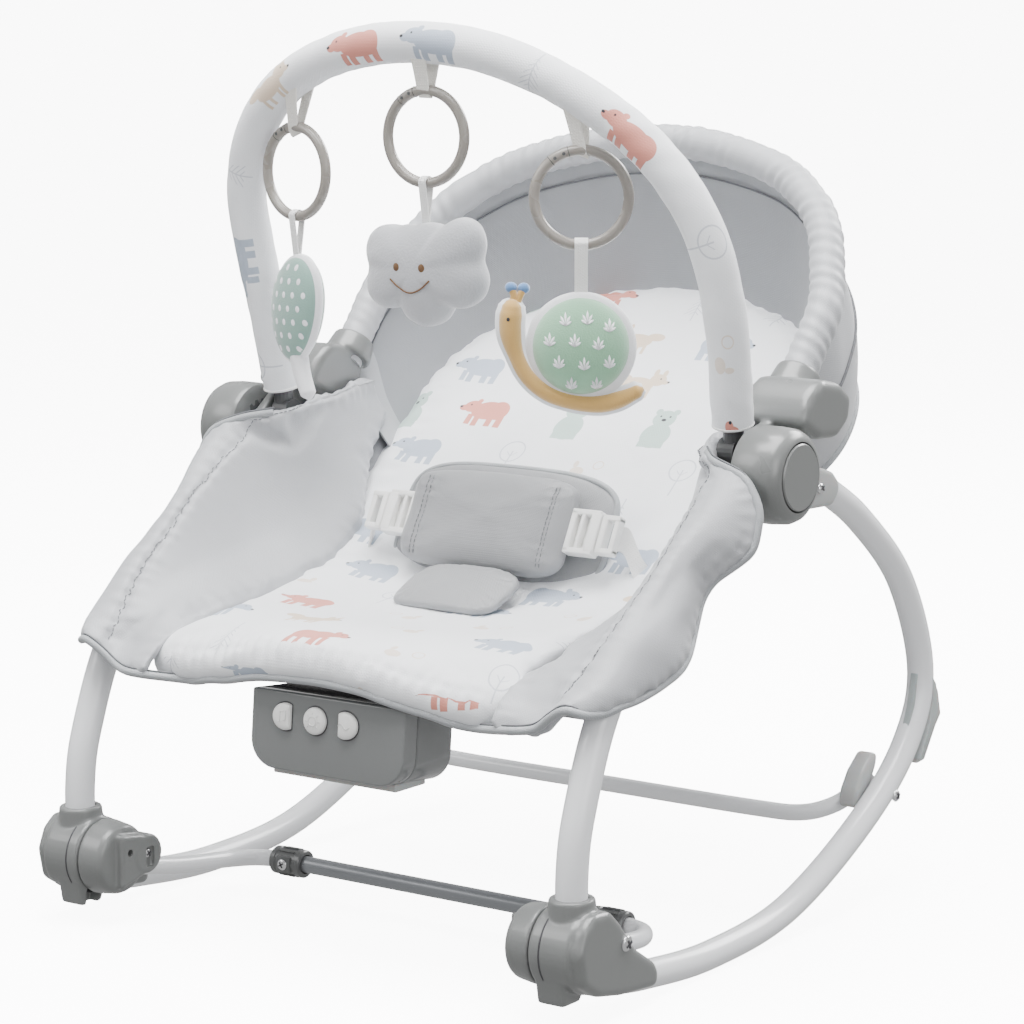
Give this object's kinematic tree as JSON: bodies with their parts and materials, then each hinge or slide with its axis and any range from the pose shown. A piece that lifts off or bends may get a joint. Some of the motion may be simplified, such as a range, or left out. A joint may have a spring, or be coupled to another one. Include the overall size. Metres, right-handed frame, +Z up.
{
  "type": "bouncer seat",
  "caption": "Infant rocking bouncer seat: bent tube rockers, reclining hooded backrest, padded seat with waist belt, vibration unit and arched toy bar with hanging toys.",
  "frame": {"origin": "centre of the bounding box at floor level, on the middle plane between the two rocker rails", "axes": "+Z up; -Y is the foot end and +Y the head end; +X is on the right of a person who faces the seat from its foot end"},
  "size_m": [0.481, 0.4738, 0.5935],
  "materials": {
    "white_metal": "gloss",
    "grey_metal": "satin",
    "rim_metal": "satin",
    "bright_steel": "polished",
    "grey_plastic": "gloss",
    "dark_plastic": "satin",
    "white_plastic": "gloss",
    "ring_plastic": "gloss",
    "grey_fabric": "woven satin",
    "printed_fabric": "printed cotton",
    "mint_plush": "plush",
    "pale_plush": "plush",
    "cream_webbing": "woven webbing"
  },
  "bodies": {
    "base": {"rocker_rail_left": "white_metal", "rocker_rail_right": "white_metal", "rail_stop_left": "grey_plastic", "rail_stop_right": "grey_plastic", "seat_tube_left": "white_metal", "seat_tube_right": "white_metal", "seat_cross_tube": "white_metal", "front_housing_left": "grey_plastic", "front_housing_right": "grey_plastic", "rear_bar": "white_metal", "rear_saddle_left": "grey_plastic", "rear_saddle_right": "grey_plastic", "hub_shell_left": "grey_plastic", "hub_shell_right": "grey_plastic", "seat_pad": "printed_fabric", "bolster_left": "grey_fabric", "bolster_right": "grey_fabric", "belt_pad": "grey_fabric", "buckle_socket_left": "white_plastic", "buckle_socket_right": "white_plastic", "crotch_strap": "grey_fabric", "control_case": "grey_plastic", "battery_door": "white_plastic", "vibration_motor": "bright_steel", "battery_cell": "bright_steel"},
    "front_stand": {"stand_cap_left": "grey_plastic", "stand_cap_right": "grey_plastic", "stand_stub_left": "white_metal", "stand_stub_right": "white_metal", "stand_clamp_left": "dark_plastic", "stand_clamp_right": "dark_plastic", "clamp_screw_left": "bright_steel", "clamp_screw_right": "bright_steel", "stand_crossbar": "grey_metal"},
    "backrest": {"shoulder_left": "grey_plastic", "shoulder_right": "grey_plastic", "recline_ratchet_left": "dark_plastic", "recline_ratchet_right": "dark_plastic", "rim_tube": "rim_metal", "hood_shell": "grey_fabric", "back_pad": "printed_fabric"},
    "toy_bar_assembly": {"toy_bar": "printed_fabric", "toy_bar_foot_left": "dark_plastic", "toy_bar_foot_right": "dark_plastic", "ring_loop_leaf": "cream_webbing", "ring_loop_cloud": "cream_webbing", "ring_loop_snail": "cream_webbing"},
    "hub_button_left": {"hub_button_left": "grey_plastic"},
    "hub_button_right": {"hub_button_right": "grey_plastic"},
    "button_music": {"button_music": "white_plastic"},
    "button_power": {"button_power": "white_plastic"},
    "button_vibration": {"button_vibration": "white_plastic"},
    "buckle_tongue_left": {"buckle_tongue_left": "white_plastic"},
    "buckle_tongue_right": {"buckle_tongue_right": "white_plastic"},
    "toy_ring_leaf": {"toy_ring_leaf": "ring_plastic"},
    "toy_leaf": {"toy_leaf": "mint_plush"},
    "toy_ring_cloud": {"toy_ring_cloud": "ring_plastic"},
    "toy_cloud": {"toy_cloud": "pale_plush"},
    "toy_ring_snail": {"toy_ring_snail": "ring_plastic"},
    "toy_snail": {"toy_snail": "mint_plush"}
  },
  "joints": [
    {"name": "front_stand_pivot", "type": "hinge", "parent": "base", "child": "front_stand", "pos_m": [0, -0.2109, 0.044], "axis": [1, 0, 0], "range_deg": [-3.5, 25]},
    {"name": "backrest_recline", "type": "hinge", "parent": "base", "child": "backrest", "pos_m": [0, -0.0189, 0.311], "axis": [1, 0, 0], "range_deg": [-16, 8]},
    {"name": "toy_bar_swing", "type": "hinge", "parent": "base", "child": "toy_bar_assembly", "pos_m": [0, -0.0139, 0.323], "axis": [1, 0, 0], "range_deg": [-10, 35]},
    {"name": "hub_button_left_press", "type": "slide", "parent": "base", "child": "hub_button_left", "axis": [1, 0, 0], "range_m": [0, 0.003], "stiffness_N_per_m": 900},
    {"name": "hub_button_right_press", "type": "slide", "parent": "base", "child": "hub_button_right", "axis": [-1, 0, 0], "range_m": [0, 0.003], "stiffness_N_per_m": 900},
    {"name": "button_music_press", "type": "slide", "parent": "base", "child": "button_music", "axis": [0, 0.9962, -0.0872], "range_m": [0, 0.0015], "stiffness_N_per_m": 500},
    {"name": "button_power_press", "type": "slide", "parent": "base", "child": "button_power", "axis": [0, 0.9962, -0.0872], "range_m": [0, 0.0015], "stiffness_N_per_m": 500},
    {"name": "button_vibration_press", "type": "slide", "parent": "base", "child": "button_vibration", "axis": [0, 0.9962, -0.0872], "range_m": [0, 0.0015], "stiffness_N_per_m": 500},
    {"name": "buckle_left_release", "type": "slide", "parent": "base", "child": "buckle_tongue_left", "axis": [-1, 0, 0], "range_m": [0, 0.012]},
    {"name": "buckle_right_release", "type": "slide", "parent": "base", "child": "buckle_tongue_right", "axis": [1, 0, 0], "range_m": [0, 0.012]},
    {"name": "ring_leaf_swing", "type": "hinge", "parent": "toy_bar_assembly", "child": "toy_ring_leaf", "pos_m": [-0.13, -0.06572, 0.524], "axis": [0.9848, -0.1736, 0], "range_deg": [-35, 35]},
    {"name": "toy_leaf_swing", "type": "hinge", "parent": "toy_ring_leaf", "child": "toy_leaf", "pos_m": [-0.13, -0.06572, 0.464], "axis": [0.9848, -0.1736, 0], "range_deg": [-35, 35]},
    {"name": "ring_cloud_swing", "type": "hinge", "parent": "toy_bar_assembly", "child": "toy_ring_cloud", "pos_m": [-0.015, -0.07281, 0.55], "axis": [0.9986, 0.0523, 0], "range_deg": [-35, 35]},
    {"name": "toy_cloud_swing", "type": "hinge", "parent": "toy_ring_cloud", "child": "toy_cloud", "pos_m": [-0.015, -0.07281, 0.49], "axis": [0.9986, 0.0523, 0], "range_deg": [-35, 35]},
    {"name": "ring_snail_swing", "type": "hinge", "parent": "toy_bar_assembly", "child": "toy_ring_snail", "pos_m": [0.103, -0.06562, 0.514], "axis": [0.8191, 0.5736, 0], "range_deg": [-35, 35]},
    {"name": "toy_snail_swing", "type": "hinge", "parent": "toy_ring_snail", "child": "toy_snail", "pos_m": [0.103, -0.06562, 0.454], "axis": [0.8191, 0.5736, 0], "range_deg": [-35, 35]}
  ]
}
